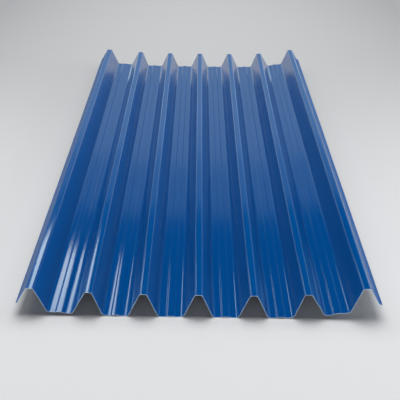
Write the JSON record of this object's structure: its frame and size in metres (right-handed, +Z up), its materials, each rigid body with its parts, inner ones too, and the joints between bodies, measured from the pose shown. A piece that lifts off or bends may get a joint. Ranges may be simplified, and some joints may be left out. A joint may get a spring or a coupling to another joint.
{
  "type": "steel roofing sheet",
  "caption": "Trapezoidal roll-formed steel roofing sheet, colour coated blue, with beaded troughs and lipped long edges for side laps.",
  "frame": {"origin": "on the floor under the middle of the sheet's bounding box", "axes": "+X across the ribs, +Y along the ribs, +Z up out of the weather face"},
  "size_m": [0.7956, 2, 0.076],
  "materials": {
    "coated_steel": "gloss blue coil coating over zinc on the weather face, grey backing coat on the underside, bare steel and zinc on the cut edges"
  },
  "bodies": {
    "root": {"roofing_sheet": "coated_steel"}
  },
  "joints": []
}
